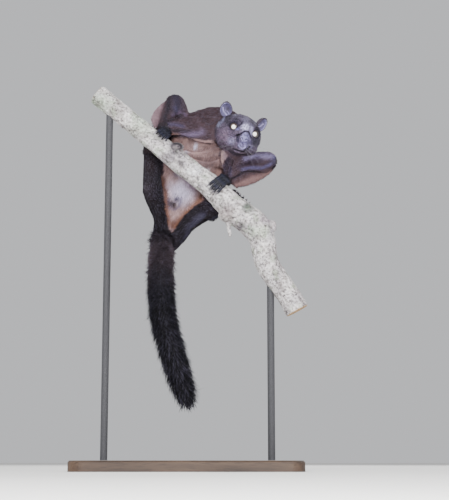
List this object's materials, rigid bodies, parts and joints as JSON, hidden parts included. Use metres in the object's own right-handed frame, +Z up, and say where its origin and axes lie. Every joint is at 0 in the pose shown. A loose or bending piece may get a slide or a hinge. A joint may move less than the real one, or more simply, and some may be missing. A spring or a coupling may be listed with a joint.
{
  "type": "giant flying squirrel museum model",
  "caption": "Life-size still model of a giant flying squirrel clinging to a sloping length of branch, tail hanging, held on a flat base by upright rods.",
  "frame": {"origin": "centre of the base's underside", "axes": "+Z up, the animal faces -Y, its own right side is at -X"},
  "size_m": [0.3145, 0.3875, 0.5545],
  "materials": {
    "stand_base": "satin dark stained wood",
    "stand_rod": "matt black",
    "bark": "rough pale bark with lichen",
    "face_fur": "short grizzled fur",
    "ear_skin": "thin bare skin",
    "eye": "wet gloss",
    "back_fur": "dense maroon fur",
    "belly_fur": "soft pale fur with orange rims",
    "paw_skin": "bare blue-black skin",
    "tail_hair": "long bushy hair",
    "membrane": "short fur on loose skin"
  },
  "bodies": {
    "root": {"stand_base": "stand_base", "stand_rod_left": "stand_rod", "stand_rod_right": "stand_rod", "perch_branch": "bark", "head": "face_fur", "ear_right": "ear_skin", "ear_left": "ear_skin", "eye_right": "eye", "eye_left": "eye", "rump": "back_fur", "neck": "back_fur", "upper_arm_right": "back_fur", "upper_arm_left": "back_fur", "forearm_right": "back_fur", "forearm_left": "back_fur", "thigh_right": "back_fur", "thigh_left": "back_fur", "shin_right": "back_fur", "shin_left": "back_fur", "belly": "belly_fur", "chest": "belly_fur", "hand_right": "paw_skin", "hand_left": "paw_skin", "foot_right": "paw_skin", "foot_left": "paw_skin", "tail_1": "tail_hair", "tail_2": "tail_hair", "tail_3": "tail_hair", "tail_4": "tail_hair", "membrane_front_right": "membrane", "membrane_front_left": "membrane", "membrane_arm_right": "membrane", "membrane_arm_left": "membrane", "membrane_flank_right": "membrane", "membrane_flank_left": "membrane", "membrane_tail_right": "membrane", "membrane_tail_left": "membrane", "membrane_axilla_left": "membrane"}
  },
  "joints": []
}
